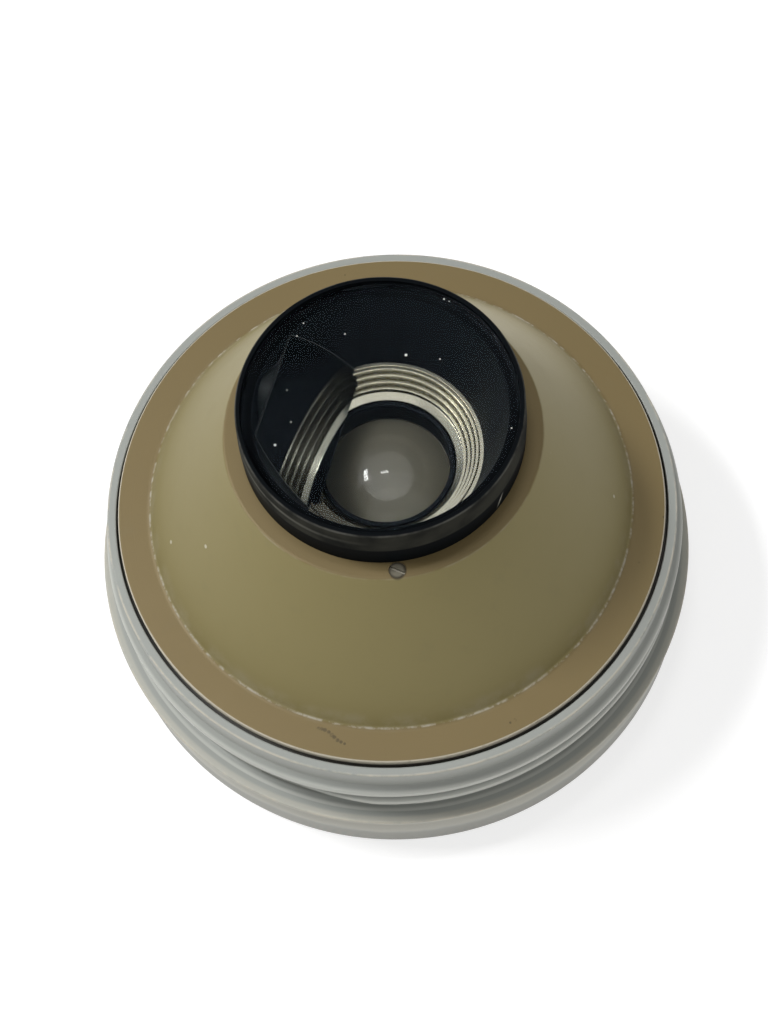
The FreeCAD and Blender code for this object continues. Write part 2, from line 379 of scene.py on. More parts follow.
def threadSwell(radius, height, angle):
    # on the neck's outside: the height of the helical ridge, a trapezium with soft corners,
    # less a sink that draws it into the neck at both ends of the helix
    s = caseSizes
    onNeck = (radius > s["neckRadius"] - 0.01) & (height > s["flangeHeight"] + 0.2)
    total = 360.0 * s["threadTurns"]
    swell = np.zeros(np.broadcast(height, angle).shape)
    for lap in range(int(np.ceil(s["threadTurns"]))):
        turn = (np.degrees(angle) - s["threadStartAngle"]) % 360.0 + 360.0 * lap
        middle = s["threadStart"] + s["threadPitch"] * turn / 360.0
        flank = (s["threadRoot"] - s["threadCrest"]) / 2
        share = np.clip((s["threadRoot"] / 2 - np.abs(height - middle)) / flank, 0, 1)
        share = share * share * (3 - 2 * share)
        sink = s["threadSink"] * np.clip(1 - np.minimum(turn, total - turn) / s["threadFade"], 0, 2)
        swell = np.maximum(swell, share * s["threadHeight"] - sink)
    return np.where(onNeck, np.maximum(swell, 0), 0)


def makeCaseBase():
    s = caseSizes
    wall = flangeRadius - s["wallSetBack"]
    corners = [
        (s["recessRadius"], s["recessDepth"], 0.2), (s["recessRadius"], 0, 0.2),
        (wall, 0, 0.7), (wall, s["lowerWallHeight"], 0.8),
        (flangeRadius - s["waistSetBack"], s["waistHeight"], 0.8),
        (flangeRadius, s["flangeHeight"] - 0.5, 0.25), (flangeRadius, s["flangeHeight"], 0.28),
        (s["neckRadius"], s["flangeHeight"], 0.35),
    ]
    above = [
        (s["neckRadius"], caseTop, 0.16), (s["mouthRadius"], caseTop, 0.12),
        (s["mouthRadius"], s["seatHeight"], 0.1), (s["wellRadius"], s["seatHeight"], 0.15),
        (s["wellRadius"], s["floorTop"], 0.8), (0, s["floorTop"], 0),
    ]
    lower = softProfile([(0, s["recessDepth"], 0)] + corners + above[:1], closed=False)[:-1]
    upper = softProfile(corners[-1:] + above, closed=False)[1:]
    neckHeights = np.linspace(lower[-1, 1] + 0.1, caseTop - 0.5, s["neckRows"])
    neck = np.stack([np.full(s["neckRows"], s["neckRadius"]), neckHeights], axis=1)
    profile = np.vstack([lower, neck, upper])
    return turnedPiece("caseBase", profile, "case_base", 480, threadSwell)


def greyPlastic():
    f = Finish("greyPlastic")
    s = caseSizes
    neckRadius = s["neckRadius"]
    out = f.radius()
    cloud = f.noise(45.0, 3.0)
    grain = f.noise(2400.0, 2.0)
    patch = f.noise(260.0, 4.0, 0.6)
    fine = f.noise(1300.0, 3.0, 0.6)
    grey = f.mix(cloud, (0.300, 0.315, 0.294), (0.345, 0.356, 0.330))
    # the flange's side: a worn cream band below its edge with a ragged border
    side = f.ease(out, flangeRadius - 0.8, flangeRadius - 0.5) * f.ease(f.z + patch * 2.4, 4.3, 5.4)
    grey = f.mix(side * 0.75, grey, (0.43, 0.42, 0.365))
    low = f.ease(out, flangeRadius - 1.0, flangeRadius - 0.7) * f.ease(f.z + patch * 1.2, 4.6, 3.4)
    grey = f.mix(low * 0.55, grey, (0.245, 0.235, 0.205))
    # painted highlight on the crest of the thread, and painted shade on the mouth's top flat
    onThread = f.ease(out, neckRadius + 0.9, neckRadius + 0.8)
    crestHighlight = f.ease(out, neckRadius + 0.35, neckRadius + 0.7) * onThread
    grey = f.mix(crestHighlight * 0.7, grey, (0.54, 0.55, 0.51))
    flat = f.ease(f.z, caseTop - 0.06, caseTop - 0.02)
    grey = f.mix(flat * 0.35, grey, (0.245, 0.262, 0.245))
    # painted shadow below each ridge of the thread: turn is the share of a turn from the thread's
    # start, step the height above the first ridge in pitches
    turn = ((f.angle() * math.degrees(1) - s["threadStartAngle"]) / 360.0).fraction()
    step = (f.z - s["threadStart"]) / s["threadPitch"] - turn
    below = greatest(f.hump(step, 0.38, 0.13) * f.ease(turn, 0.54, 0.50), f.hump(step, -0.72, 0.15))
    below = below * f.ease(out, neckRadius - 0.3, neckRadius - 0.1) * onThread
    grey = f.mix(below * 0.6, grey, (0.10, 0.098, 0.085))
    # rubbed edges: the mouth's outer edge and the flange's edge
    mouthEdge = f.hump(out, neckRadius - 0.06, 0.2) * f.ease(f.z, caseTop - 0.22, caseTop - 0.05)
    flangeEdge = f.hump(out, flangeRadius - 0.06, 0.26) * f.hump(f.z, s["flangeHeight"] - 0.1, 0.3)
    worn = greatest(mouthEdge * f.ease(patch + fine * 0.5, 0.55, 0.86),
                    flangeEdge * f.ease(patch + fine * 0.5, 0.6, 0.85))
    colour = f.mix(worn, grey, (0.50, 0.47, 0.395))
    # darker in the root of the thread and at the foot of the neck
    rootDarkening = f.ease(out, neckRadius + 0.16, neckRadius - 0.02)
    rootDarkening = rootDarkening * f.ease(out, neckRadius - 0.4, neckRadius - 0.1)
    rootDarkening = rootDarkening * f.ease(f.z, caseTop - 0.6, caseTop - 1.6)
    rootDarkening = rootDarkening * f.ease(f.z, s["flangeHeight"] - 0.1, s["flangeHeight"] + 0.3)
    colour = f.mix(rootDarkening * 0.1, colour, (0.16, 0.155, 0.135))
    # painted shade inside the mouth, in the gap round the rim
    gap = f.ease(out, s["mouthRadius"] + 0.1, s["mouthRadius"])
    gap = gap * f.ease(f.z, caseTop - 0.15, caseTop - 0.4)
    gap = gap * f.ease(f.z, s["seatHeight"] - 0.8, s["seatHeight"] - 0.3)
    colour = f.mix(gap, colour, (0.022, 0.020, 0.014))
    rough = 0.42 + 0.14 * patch + 0.1 * worn
    shape = f.bump(grain, 0.012, 0.35, f.bump(patch, 0.05, 0.25))
    return f.done(f.surface({"Base Color": colour, "Roughness": rough, "Normal": shape,
                             "Specular IOR Level": 0.45}))


dress(makeCaseBase(), greyPlastic())
print("case base made")


# lens shell: gold anodised, turned
rimRadius, rimBottom, ledgeHeight = cadSize("lens_shell")
shellSizes = {
    "rimTop": 17.65,
    "coneFoot": 22.75,
    "ledgeRadius": 14.0,
    "innerFoot": 21.88,
    "innerTop": 14.35,
    "hubBottom": 28.45,
    "bore": 12.05,
    "screwRadius": 0.7,
    "screwCentre": 13.25,
    "screwAngle": -91.0,
    "screwDepth": 2.55,
    "screwGap": 0.03,
    "holeSides": 64,
    "marks": [                # x, y and radius of each dark mark, millimetres
        (-8.9, -21.8, 0.24), (-8.6, -21.88, 0.24), (-8.32, -22.02, 0.26), (-8.0, -22.25, 0.24),
        (-7.74, -22.56, 0.28), (-7.55, -22.8, 0.26), (-7.3, -23.1, 0.26), (-7.0, -23.3, 0.22),
        (-6.7, -23.5, 0.18), (8.64, -23.21, 0.22), (8.2, -23.4, 0.16),
        (-1.77, 24.64, 0.12), (22.04, -9.76, 0.22), (25.11, -5.47, 0.18),
    ],
}


def screwPlace():
    turn = math.radians(shellSizes["screwAngle"])
    return shellSizes["screwCentre"] * math.cos(turn), shellSizes["screwCentre"] * math.sin(turn)


def cutAway(piece, cutter):
    # takes the cutter's solid out of a piece for good
    cut = piece.modifiers.new("cut", "BOOLEAN")
    cut.operation = "DIFFERENCE"
    cut.solver = "EXACT"
    cut.object = cutter
    graph = bpy.context.evaluated_depsgraph_get()
    made = bpy.data.meshes.new_from_object(piece.evaluated_get(graph))
    made.name = piece.data.name
    piece.modifiers.remove(cut)
    piece.data = made
    made.set_sharp_from_angle(angle=math.radians(35))
    bpy.data.objects.remove(cutter)


def plainThing(name, points, faces):
    # points in millimetres
    mesh = bpy.data.meshes.new(name)
    mesh.from_pydata([tuple(point) for point in np.asarray(points) * mm], [], faces)
    mesh.update()
    return placeThing(name, mesh)


def makeShell():
    s = shellSizes
    corners = [
        (s["bore"], ledgeHeight, 0.05), (s["ledgeRadius"], ledgeHeight, 0.16),
        (s["coneFoot"], s["rimTop"], 0.3), (rimRadius, s["rimTop"], 0.16),
        (rimRadius, rimBottom, 0.16), (s["innerFoot"], rimBottom, 0.1),
        (s["innerTop"], s["hubBottom"], 0.3), (s["bore"], s["hubBottom"], 0.1),
    ]
    shell = turnedPiece("lensShell", softProfile(corners), "lens_shell", 480)
    # the screw's hole: a prism that reaches a millimetre above the ledge
    x, y = screwPlace()
    count = s["holeSides"]
    turn = roundAngles(count)
    size = s["screwRadius"] + s["screwGap"]
    rim = np.stack([x + size * np.cos(turn), y + size * np.sin(turn)], axis=1)
    low = np.column_stack([rim, np.full(count, ledgeHeight - s["screwDepth"])])
    high = np.column_stack([rim, np.full(count, ledgeHeight + 1)])
    sides = [(i, (i + 1) % count, count + (i + 1) % count, count + i) for i in range(count)]
    ends = [tuple(range(count - 1, -1, -1)), tuple(range(count, 2 * count))]
    cutAway(shell, plainThing("screwHole", np.vstack([low, high]), sides + ends))
    return shell


def goldAnodised():
    f = Finish("goldAnodised")
    s = shellSizes
    out = f.radius()
    cloud = f.noise(38.0, 3.0)
    mottle = f.noise(420.0, 4.0, 0.6)
    fine = f.noise(1500.0, 3.0, 0.6)
    grain = f.noise(5200.0, 2.0)
    rings = f.streak(out - f.z * 0.62, 9.0, 3.0)
    cone = f.mix(cloud, (0.212, 0.178, 0.070), (0.247, 0.208, 0.088))
    flat = f.mix(cloud, (0.146, 0.107, 0.043), (0.176, 0.131, 0.055))
    flatMask = greatest(f.ease(out, s["coneFoot"] - 0.12, s["coneFoot"] + 0.15),
                        f.ease(out, s["ledgeRadius"] + 0.12, s["ledgeRadius"] - 0.1))
    colour = f.mix(flatMask, cone, flat)
    colour = f.mix(f.ease(mottle, 0.55, 0.8) * 0.12, colour, (0.16, 0.135, 0.075))
    # pale dirt and a painted reflection in the corner where the cone meets the rim
    dirtAndReflectionLine = f.hump(out, s["coneFoot"] + 0.02, 0.17) * f.ease(fine + mottle * 0.5, 0.62, 0.92)
    haze = f.hump(out, s["coneFoot"] - 0.3, 0.8) * f.ease(mottle, 0.35, 0.7) * 0.16
    colour = f.mix(greatest(dirtAndReflectionLine * 0.75, haze), colour, (0.50, 0.47, 0.39))
    # dark marks, most of them on the rim near its foot
    darkDirtAndShade = (0.045, 0.034, 0.016)
    for x, y, size in s["marks"]:
        colour = f.mix(f.spot(x, y, size) * f.ease(fine, 0.3, 0.6) * 0.7, colour, darkDirtAndShade)
    # rubbed outer edge of the rim and the ledge's edge, also painted highlights, and painted shade
    # in the gap below the rim's edge
    rimEdgeWearAndHighlight = f.ease(out, rimRadius - 0.16, rimRadius - 0.06) * f.ease(fine + mottle, 0.45, 0.95)
    ledgeEdgeWearAndHighlight = f.hump(out, s["ledgeRadius"] + 0.02, 0.1) * f.ease(mottle, 0.35, 0.7) * 0.16
    worn = greatest(rimEdgeWearAndHighlight * 0.84, ledgeEdgeWearAndHighlight)
    colour = f.mix(worn, colour, (0.60, 0.56, 0.46))
    below = f.ease(f.z, s["rimTop"] - 0.7, s["rimTop"] - 0.9)
    below = below * f.ease(out, rimRadius - 0.1, rimRadius - 0.02)
    colour = f.mix(below, colour, (0.020, 0.017, 0.010))
    # painted shade round the lock screw, on its right and front
    x, y = screwPlace()
    screwHoleShade = f.hump(f.distance(x, y), s["screwRadius"] + 0.05, 0.16)
    screwHoleShade = screwHoleShade * f.ease((f.x - x) - (f.y - y), -0.5, 0.3)
    colour = f.mix(screwHoleShade * 0.8, colour, darkDirtAndShade)
    # small pale specks
    speckMask = f.ease(f.cells(260.0), 0.06, 0.035) * f.ease(f.noise(90.0, 1.0), 0.52, 0.6)
    colour = f.mix(speckMask * 0.6, colour, (0.6, 0.57, 0.47))
    rough = 0.44 + 0.08 * mottle + 0.25 * greatest(worn, dirtAndReflectionLine) + 0.05 * rings
    shape = f.bump(grain, 0.006, 0.35, f.bump(rings, 0.012, 0.3))
    metal = 0.16 * (1.0 - greatest(worn, dirtAndReflectionLine, speckMask))
    return f.done(f.surface({"Base Color": colour, "Roughness": rough, "Metallic": metal,
                             "Specular IOR Level": 0.3, "Sheen Weight": 0.16,
                             "Sheen Roughness": 0.4, "Sheen Tint": (1.0, 0.95, 0.82),
                             "Normal": shape}))


dress(makeShell(), goldAnodised())
print("shell made")


# barrel: black anodised, with the collar, the window's seat and the tapered bore
collarRadius, barrelBottom, collarTop = cadSize("optic_barrel")
barrelSizes = {
    "collarTopRadius": 12.35,
    "collarWall": 2.45,
    "spigotRadius": 12.0,
    "tubeRadius": 10.6,
    "chamberRadius": 9.3,
    "shoulderHeight": 27.6,
    "boreLow": 8.8,
    "boreHigh": 11.0,
    "windowSeat": 35.53,
    "seatRadius": 11.9,
    "lineAngle": -2.45,       # radians round Z, of the painted highlight line on the collar
    "lineHeight": 35.6,
    "glintAngle": -0.751,
    "glintHeight": 33.1,
    "glintLean": 0.035,        # radians per millimetre
}
collarCorner = ledgeHeight + barrelSizes["collarWall"]


def makeBarrel():
    s = barrelSizes
    corners = [
        (s["seatRadius"], collarTop, 0.08), (s["collarTopRadius"], collarTop, 0.18),
        (collarRadius, collarCorner, 0.25), (collarRadius, ledgeHeight, 0.05),
        (s["spigotRadius"], ledgeHeight, 0.02), (s["spigotRadius"], shellSizes["hubBottom"], 0.1),
        (s["tubeRadius"], shellSizes["hubBottom"], 0.1), (s["tubeRadius"], barrelBottom, 0.15),
        (s["chamberRadius"], barrelBottom, 0.15), (s["chamberRadius"], s["shoulderHeight"], 0.05),
        (s["boreLow"], s["shoulderHeight"], 0.06), (s["boreHigh"], s["windowSeat"], 0.06),
        (s["seatRadius"], s["windowSeat"], 0.04),
    ]
    return turnedPiece("opticBarrel", softProfile(corners), "optic_barrel", 480)


def blackAnodised():
    f = Finish("blackAnodised")
    s = barrelSizes
    out = f.radius()
    cloud = f.noise(60.0, 3.0)
    fine = f.noise(1600.0, 3.0, 0.6)
    patch = f.noise(240.0, 3.0)
    grain = f.noise(6000.0, 2.0)
    colour = f.mix(cloud, (0.0020, 0.0028, 0.0036), (0.0034, 0.0046, 0.0058))
    # the tapered band round the collar's top is a painted reflection in dull grey patches; its top
    # edge is worn and a painted highlight
    band = f.ease(out, s["collarTopRadius"] - 0.12, s["collarTopRadius"] - 0.02)
    band = band * f.ease(f.z, collarCorner - 0.1, collarCorner + 0.2)
    colour = f.mix(band * f.ease(patch, 0.2, 0.7), colour, (0.036, 0.036, 0.030))
    topEdgeWearAndHighlight = f.hump(out, s["collarTopRadius"] - 0.03, 0.14)
    topEdgeWearAndHighlight = topEdgeWearAndHighlight * f.ease(f.z, collarTop - 0.3, collarTop - 0.05)
    worn = topEdgeWearAndHighlight * f.ease(patch + fine * 0.4, 0.5, 0.85)
    colour = f.mix(worn * 0.4, colour, (0.16, 0.16, 0.145))
    # a painted highlight line in the band at the left of the front, and a painted glint at the
    # right of the front
    taperHighlight = band * f.hump(f.angle(), s["lineAngle"], 0.8) * f.hump(f.z, s["lineHeight"], 0.4)
    taperHighlight = taperHighlight * f.ease(patch + fine * 0.4, 0.4, 0.7)
    colour = f.mix(taperHighlight, colour, (0.10, 0.10, 0.087))
    lean = (s["glintHeight"] - f.z) * s["glintLean"]
    collarGlint = f.hump(f.angle() + lean, s["glintAngle"], 0.014) * f.hump(f.z, s["glintHeight"], 1.1)
    collarGlint = collarGlint * f.ease(out, collarRadius - 0.15, collarRadius - 0.05)
    colour = f.mix(collarGlint, colour, (0.55, 0.54, 0.48))
    rough = 0.42 + 0.14 * patch + 0.2 * greatest(worn, band)
    shape = f.bump(grain * greatest(worn, band), 0.003)
    return f.done(f.surface({"Base Color": colour, "Roughness": rough, "Normal": shape,
                             "IOR": 1.2, "Specular IOR Level": 0.1}))


def blackMatt():
    f = Finish("blackMatt")
    cloud = f.noise(300.0, 3.0)
    colour = f.mix(cloud, (0.003, 0.0035, 0.004), (0.006, 0.007, 0.008))
    return f.done(f.surface({"Base Color": colour, "Roughness": 0.6 + 0.2 * cloud,
                             "Specular IOR Level": 0.04,
                             "Normal": f.bump(cloud, 0.01, 0.3)}))


blackFinish = blackAnodised()
dress(makeBarrel(), blackFinish)
print("barrel made")


# bright rings below the bore
throatSizes = {
    "low": 25.3,
    "high": 27.6,
    "outer": 9.25,
    "topRadius": 8.5,
    "lowRadius": 7.0,
    "grooves": 4,             # steps, each with its groove
    "grooveDepth": 0.12,
    "grooveHeight": 0.16,
    "ringLow": 24.1,
    "ringBore": 6.3,
    "slopeHeight": 0.5,
}

mirrorSizes = {
    "angle": 59.0,
    "direction": -22.3,
    "footOffset": 4.38,      # from the axis to the face's lower edge
    "footHeight": 26.7,
    "thickness": 1.2,
    "clearance": 0.04,
    "notchGap": 0.08,
    "notchShift": 0.02,
    "notchReach": 12.0,      # half its width
    "notchBack": 8.0,
    "notchHeight": 3.0,
    "bevel": 0.11,
    "directions": 360,
    "rayStart": 3.4,         # above the face's lower edge, along the face
    "topHeight": 35.49,
}


def mirrorAxes():
    # the face's normal, its level direction and its direction of steepest rise
    s = mirrorSizes
    turn = math.radians(s["direction"])
    lean = math.radians(s["angle"])
    flat = np.array((math.cos(turn), math.sin(turn), 0))
    up = np.array((0, 0, 1.0))
    normal = math.sin(lean) * flat + math.cos(lean) * up
    rise = math.sin(lean) * up - math.cos(lean) * flat
    level = np.cross(normal, rise)
    foot = -s["footOffset"] * flat + s["footHeight"] * up
    return normal, level, rise, foot


def makeThroat():
    s = throatSizes
    corners = [(s["outer"], s["high"], 0.05), (s["outer"], s["low"], 0.05),
               (s["lowRadius"], s["low"], 0)]
    # each step is an upright wall and a level tread that ends in a fine groove
    step = (s["high"] - s["low"]) / s["grooves"]
    wide = (s["topRadius"] - s["lowRadius"]) / s["grooves"]
    for index in range(s["grooves"]):
        radius = s["lowRadius"] + wide * index
        tread = s["low"] + step * (index + 1)
        corners.append((radius, tread, 0.05))
        corners.append((radius + wide - s["grooveDepth"], tread, 0.03))
        corners.append((radius + wide - s["grooveDepth"] / 2, tread - s["grooveHeight"], 0.02))
        corners.append((radius + wide, tread, 0.03))
    ring = turnedPiece("throatRing", softProfile(corners), "throat_ring", 300)
    # a notch for the mirror's foot, with one side parallel to the mirror's face
    m = mirrorSizes
    normal, level, _, foot = mirrorAxes()
    corner = foot + normal * m["notchGap"]
    corner[2] = m["footHeight"] - m["notchGap"]
    flat = np.array((normal[0], normal[1], 0)) / np.hypot(normal[0], normal[1])
    corner = corner + flat * m["notchShift"]
    back = -flat * m["notchBack"]
    side = level * m["notchReach"]
    points = []
    for height in (0.0, m["notchHeight"]):
        lean = -flat * height / math.tan(math.radians(m["angle"]))
        top = corner + np.array((0, 0, height))
        points += [top + lean - side, top + lean + side, top + back + side, top + back - side]
    faces = [(0, 1, 2, 3), (7, 6, 5, 4), (0, 4, 5, 1), (1, 5, 6, 2), (2, 6, 7, 3), (3, 7, 4, 0)]
    cutAway(ring, plainThing("notch", points, faces))
    return ring


def makeClampRing():
    s = throatSizes
    slopeFoot = s["low"] - s["slopeHeight"]
    corners = [(s["outer"], s["low"], 0.05), (s["outer"], s["ringLow"], 0.05),
               (s["ringBore"], s["ringLow"], 0.04), (s["ringBore"], slopeFoot, 0.12),
               (s["lowRadius"], s["low"], 0.05)]
    return turnedPiece("clampRing", softProfile(corners), "clamp_ring", 300)


def brightNickel():
    f = Finish("brightNickel")
    out = f.radius()
    cloud = f.noise(160.0, 3.0)
    fine = f.noise(2200.0, 3.0, 0.6)
    rings = f.streak(out + f.z * 1.3, 14.0, 3.0)
    colour = f.mix(cloud, (0.32, 0.305, 0.245), (0.41, 0.395, 0.325))
    colour = f.mix(f.ease(fine, 0.6, 0.75) * 0.2, colour, (0.26, 0.245, 0.19))
    # painted shade: the front left of the rings is dull and dark
    near = f.ease(f.y, -2.0, -4.2) * f.ease(f.x, 4.5, 0.5)
    colour = f.mix(near * 0.95, colour, (0.035, 0.033, 0.026))
    rough = 0.15 + 0.08 * cloud + 0.05 * rings
    return f.done(f.surface({"Base Color": colour, "Metallic": 1.0, "Roughness": rough,
                             "Normal": f.bump(rings, 0.004, 0.25)}))


nickelFinish = brightNickel()
dress(makeThroat(), nickelFinish)
dress(makeClampRing(), nickelFinish)
print("bright rings made")


# inclined mirror: a plate whose outline is the bore's cone cut by the face's plane
def mirrorOutline(depth, inset):
    # from a point on the plane, rays in all directions end at the first of the foot's height,
    # the head's height and the cone r = base + slope z, for which a quadratic is solved
    s = mirrorSizes
    b = barrelSizes
    normal, level, rise, foot = mirrorAxes()
    centre = foot - normal * depth + rise * s["rayStart"]
    turn = roundAngles(s["directions"])
    way = np.cos(turn)[:, None] * level + np.sin(turn)[:, None] * rise
    slope = (b["boreHigh"] - b["boreLow"]) / (b["windowSeat"] - b["shoulderHeight"])
    base = b["boreLow"] - slope * b["shoulderHeight"] - s["clearance"]
    here = base + slope * centre[2]
    square = way[:, 0] ** 2 + way[:, 1] ** 2 - (slope * way[:, 2]) ** 2
    linear = centre[0] * way[:, 0] + centre[1] * way[:, 1] - here * slope * way[:, 2]
    plain = centre[0] ** 2 + centre[1] ** 2 - here ** 2
    reachCone = (np.sqrt(np.maximum(linear ** 2 - square * plain, 0)) - linear) / square
    reachCone = np.where(reachCone > 0, reachCone, np.inf)
    rising = np.where(np.abs(way[:, 2]) < tiny, tiny, way[:, 2])
    reachHead = np.where(rising > 0, (s["topHeight"] - centre[2]) / rising, np.inf)
    reachFoot = np.where(rising < 0, (s["footHeight"] - centre[2]) / rising, np.inf)
    reach = np.minimum(np.minimum(reachCone, reachHead), reachFoot) - inset
    return centre, centre + reach[:, None] * way


def makeMirror():
    s = mirrorSizes
    middle, face = mirrorOutline(0.0, s["bevel"])
    inner = middle + (face - middle) * 0.985
    outer = mirrorOutline(s["bevel"] * 0.8, 0.0)[1]
    backMiddle, back = mirrorOutline(s["thickness"], 0.0)
    half = middle + (face - middle) * 0.5
    rings = [half, inner, face, outer, back, backMiddle + (back - backMiddle) * 0.5]
    count = s["directions"]
    points = np.vstack(rings + [middle[None], backMiddle[None]])
    j = np.arange(count)
    beside = (j + 1) % count
    first = np.full(count, len(rings) * count)
    last = (len(rings) - 1) * count
    faceSets = [gridFaces(len(rings), count, False),
                np.stack([first, beside, j], axis=1),
                np.stack([first + 1, last + j, last + beside], axis=1)]
    plate = addPiece("gonioMirror", points, faceSets, "gonio_mirror")
    # 0 on the silvered face, 1 on the bevel and 2 behind it
    edge = np.zeros(len(points), np.float32)
    edge[2 * count:4 * count] = 1.0
    edge[4 * count:6 * count] = 2.0
    plate.data.attributes.new("groundEdge", "FLOAT", "POINT").data.foreach_set("value", edge)
    plate.data.set_sharp_from_angle(angle=math.radians(25))
    return plate


def frontMirror():
    f = Finish("frontMirror")
    ground = f.node("ShaderNodeAttribute", {"attribute_name": "groundEdge"}).also("Fac")
    edge = f.ease(ground, 0.7, 0.98)
    cloud = f.noise(500.0, 3.0)
    colour = f.mix(cloud, (0.42, 0.44, 0.455), (0.48, 0.50, 0.51))
    colour = f.mix(edge, colour, f.mix(cloud, (0.045, 0.048, 0.048), (0.07, 0.073, 0.07)))
    # the back and the top cut are blackened
    head = edge * f.ease(f.z, mirrorSizes["topHeight"] - 0.3, mirrorSizes["topHeight"] - 0.15)
    colour = f.mix(greatest(f.ease(ground, 1.02, 1.15), head), colour, (0.002, 0.003, 0.003))
    rough = 0.02 + 0.5 * edge
    return f.done(f.surface({"Base Color": colour, "Metallic": 1.0 - edge, "Roughness": rough,
                             "Specular IOR Level": 0.1}))


dress(makeMirror(), frontMirror())
dressNode("mirror_wedge", blackMatt())
print("mirror made")


# lens cell, contact lens and ring nuts
cellSizes = {
    "bore": 5.8,
    "neck": 6.22,
    "neckFoot": 24.1,
    "outer": 9.25,
    "flangeLow": 19.0,
    "tube": 8.2,
    "retainerBore": 7.225,
    "lensLow": 18.6,
    "lensSeat": 22.3,
    "seatRadius": 6.55,
}
lensSizes = {
    "flange": 6.5,
    "dome": 5.7,
    "rise": 2.8,
    "nose": 5.9,
    "lip": 0.3,
    "dishCurve": 7.8,
    "rows": 40,
}


def makeCell():
    s = cellSizes
    low, high = cadSize("lens_cell")[1:]
    corners = [
        (s["bore"], high, 0.1), (s["neck"], high, 0.1), (s["neck"], s["neckFoot"], 0.02),
        (s["outer"], s["neckFoot"], 0.05), (s["outer"], s["flangeLow"], 0.05),
        (s["tube"], s["flangeLow"], 0.05), (s["tube"], low, 0.1), (s["retainerBore"], low, 0.1),
        (s["retainerBore"], s["lensLow"], 0.02), (s["seatRadius"], s["lensLow"], 0.05),
        (s["seatRadius"], s["lensSeat"], 0.02), (s["bore"], s["lensSeat"], 0.02),
    ]
    return turnedPiece("lensCell", softProfile(corners), "lens_cell", 300)


def crownArc(curve, radius, top, rows):
    # an arc from the axis outwards: z = top - curve (1 - cos a), r = curve sin a
    turn = np.linspace(0, math.asin(radius / curve), rows)
    return np.stack([curve * np.sin(turn), top - curve * (1 - np.cos(turn))], axis=1)


def makeContactLens():
    s = lensSizes
    low, top = cadSize("contact_lens")[1:]
    seat = cellSizes["lensSeat"]
    flangeLow = cellSizes["lensLow"]
    domeCurve = (s["dome"] ** 2 + s["rise"] ** 2) / (2 * s["rise"])
    dome = crownArc(domeCurve, s["dome"], top, s["rows"])
    dishRadius = s["nose"] - s["lip"]
    dishRise = s["dishCurve"] - math.sqrt(s["dishCurve"] ** 2 - dishRadius ** 2)
    dish = crownArc(s["dishCurve"], dishRadius, low + dishRise, s["rows"])[::-1]
    side = softProfile([(s["dome"], seat, 0), (s["flange"], seat, 0.12),
                        (s["flange"], flangeLow, 0.12), (s["nose"], flangeLow, 0.05),
                        (s["nose"], low, 0.1), (dishRadius, low, 0)], closed=False)
    return turnedPiece("contactLens", np.vstack([dome, side[1:-1], dish]), "contact_lens",
                       240)


def contactGlass():
    f = Finish("contactGlass")
    haze = f.noise(90.0, 3.0)
    fine = f.noise(1500.0, 3.0, 0.6)
    colour = f.mix(haze, (0.80, 0.78, 0.69), (0.87, 0.85, 0.77))
    glass = f.surface({"Base Color": colour, "Roughness": 0.05 + 0.02 * haze, "IOR": 1.5,
                       "Transmission Weight": 1.0})
    film = f.surface({"Base Color": (0.54, 0.50, 0.38), "Roughness": 0.5})
    # painted shade: the film is thinner on the side below the mirror, where the mirror shades the
    # dome
    unshadedSide = f.ease(f.x - 0.15 * f.y, -4.4, -0.8)
    share = 0.03 + 0.06 * unshadedSide + 0.03 * f.ease(fine, 0.5, 0.75)
    return f.done(f.letLightThrough(f.blend(share, glass, film), (0.5, 0.48, 0.42)))


dress(makeCell(), blackFinish)
dress(makeContactLens(), contactGlass())
dressNode("lens_retainer", blackFinish)
dressNode("barrel_nut", blackFinish)
print("contact lens made")


# observer's window: flat coated glass with a few specks of dust
windowSizes = {
    "bevel": 0.18,
    "dust": [                 # x, y and radius of each speck, millimetres
        (2.74, 4.29, 0.17), (-2.24, 7.05, 0.10), (-6.37, 7.42, 0.09), (6.64, 9.31, 0.12),
        (-9.15, -2.73, 0.15), (-7.62, -0.76, 0.08), (-7.69, 2.31, 0.07), (5.57, 3.51, 0.10),
        (10.71, -3.80, 0.10), (-5.70, 8.60, 0.09), (7.05, 9.02, 0.07),
    ],
}


def makeWindow():
    radius, low, high = cadSize("observer_window")
    bevel = windowSizes["bevel"]
    corners = [(0, low, 0), (radius - bevel, low, 0.04), (radius, low + bevel, 0.04),
               (radius, high - bevel, 0.04), (radius - bevel, high, 0.04), (0, high, 0)]
    return turnedPiece("observerWindow", softProfile(corners, closed=False), "observer_window",
                       300)


def coatedGlass():
    f = Finish("coatedGlass")
    windowTop = cadSize("observer_window")[2]
    smear = f.noise(70.0, 3.0)
    glass = f.surface({"Base Color": (0.97, 0.98, 0.98), "Roughness": 0.01 * smear, "IOR": 1.12,
                       "Specular Tint": (0.6, 0.8, 1.0), "Transmission Weight": 1.0})
    dust = f.surface({"Base Color": (0.62, 0.62, 0.58), "Roughness": 0.8})
    mask = f.ease(f.cells(420.0), 0.05, 0.02) * f.ease(f.noise(150.0, 1.0), 0.55, 0.6) * 0.15
    for x, y, size in windowSizes["dust"]:
        mask = greatest(mask, f.spot(x, y, size))
    # only on the upper face
    mask = mask * f.ease(f.z, windowTop - 0.4, windowTop - 0.1)
    return f.done(f.letLightThrough(f.blend(mask, glass, dust), (0.96, 0.97, 0.97)))


dress(makeWindow(), coatedGlass())
print("window made")


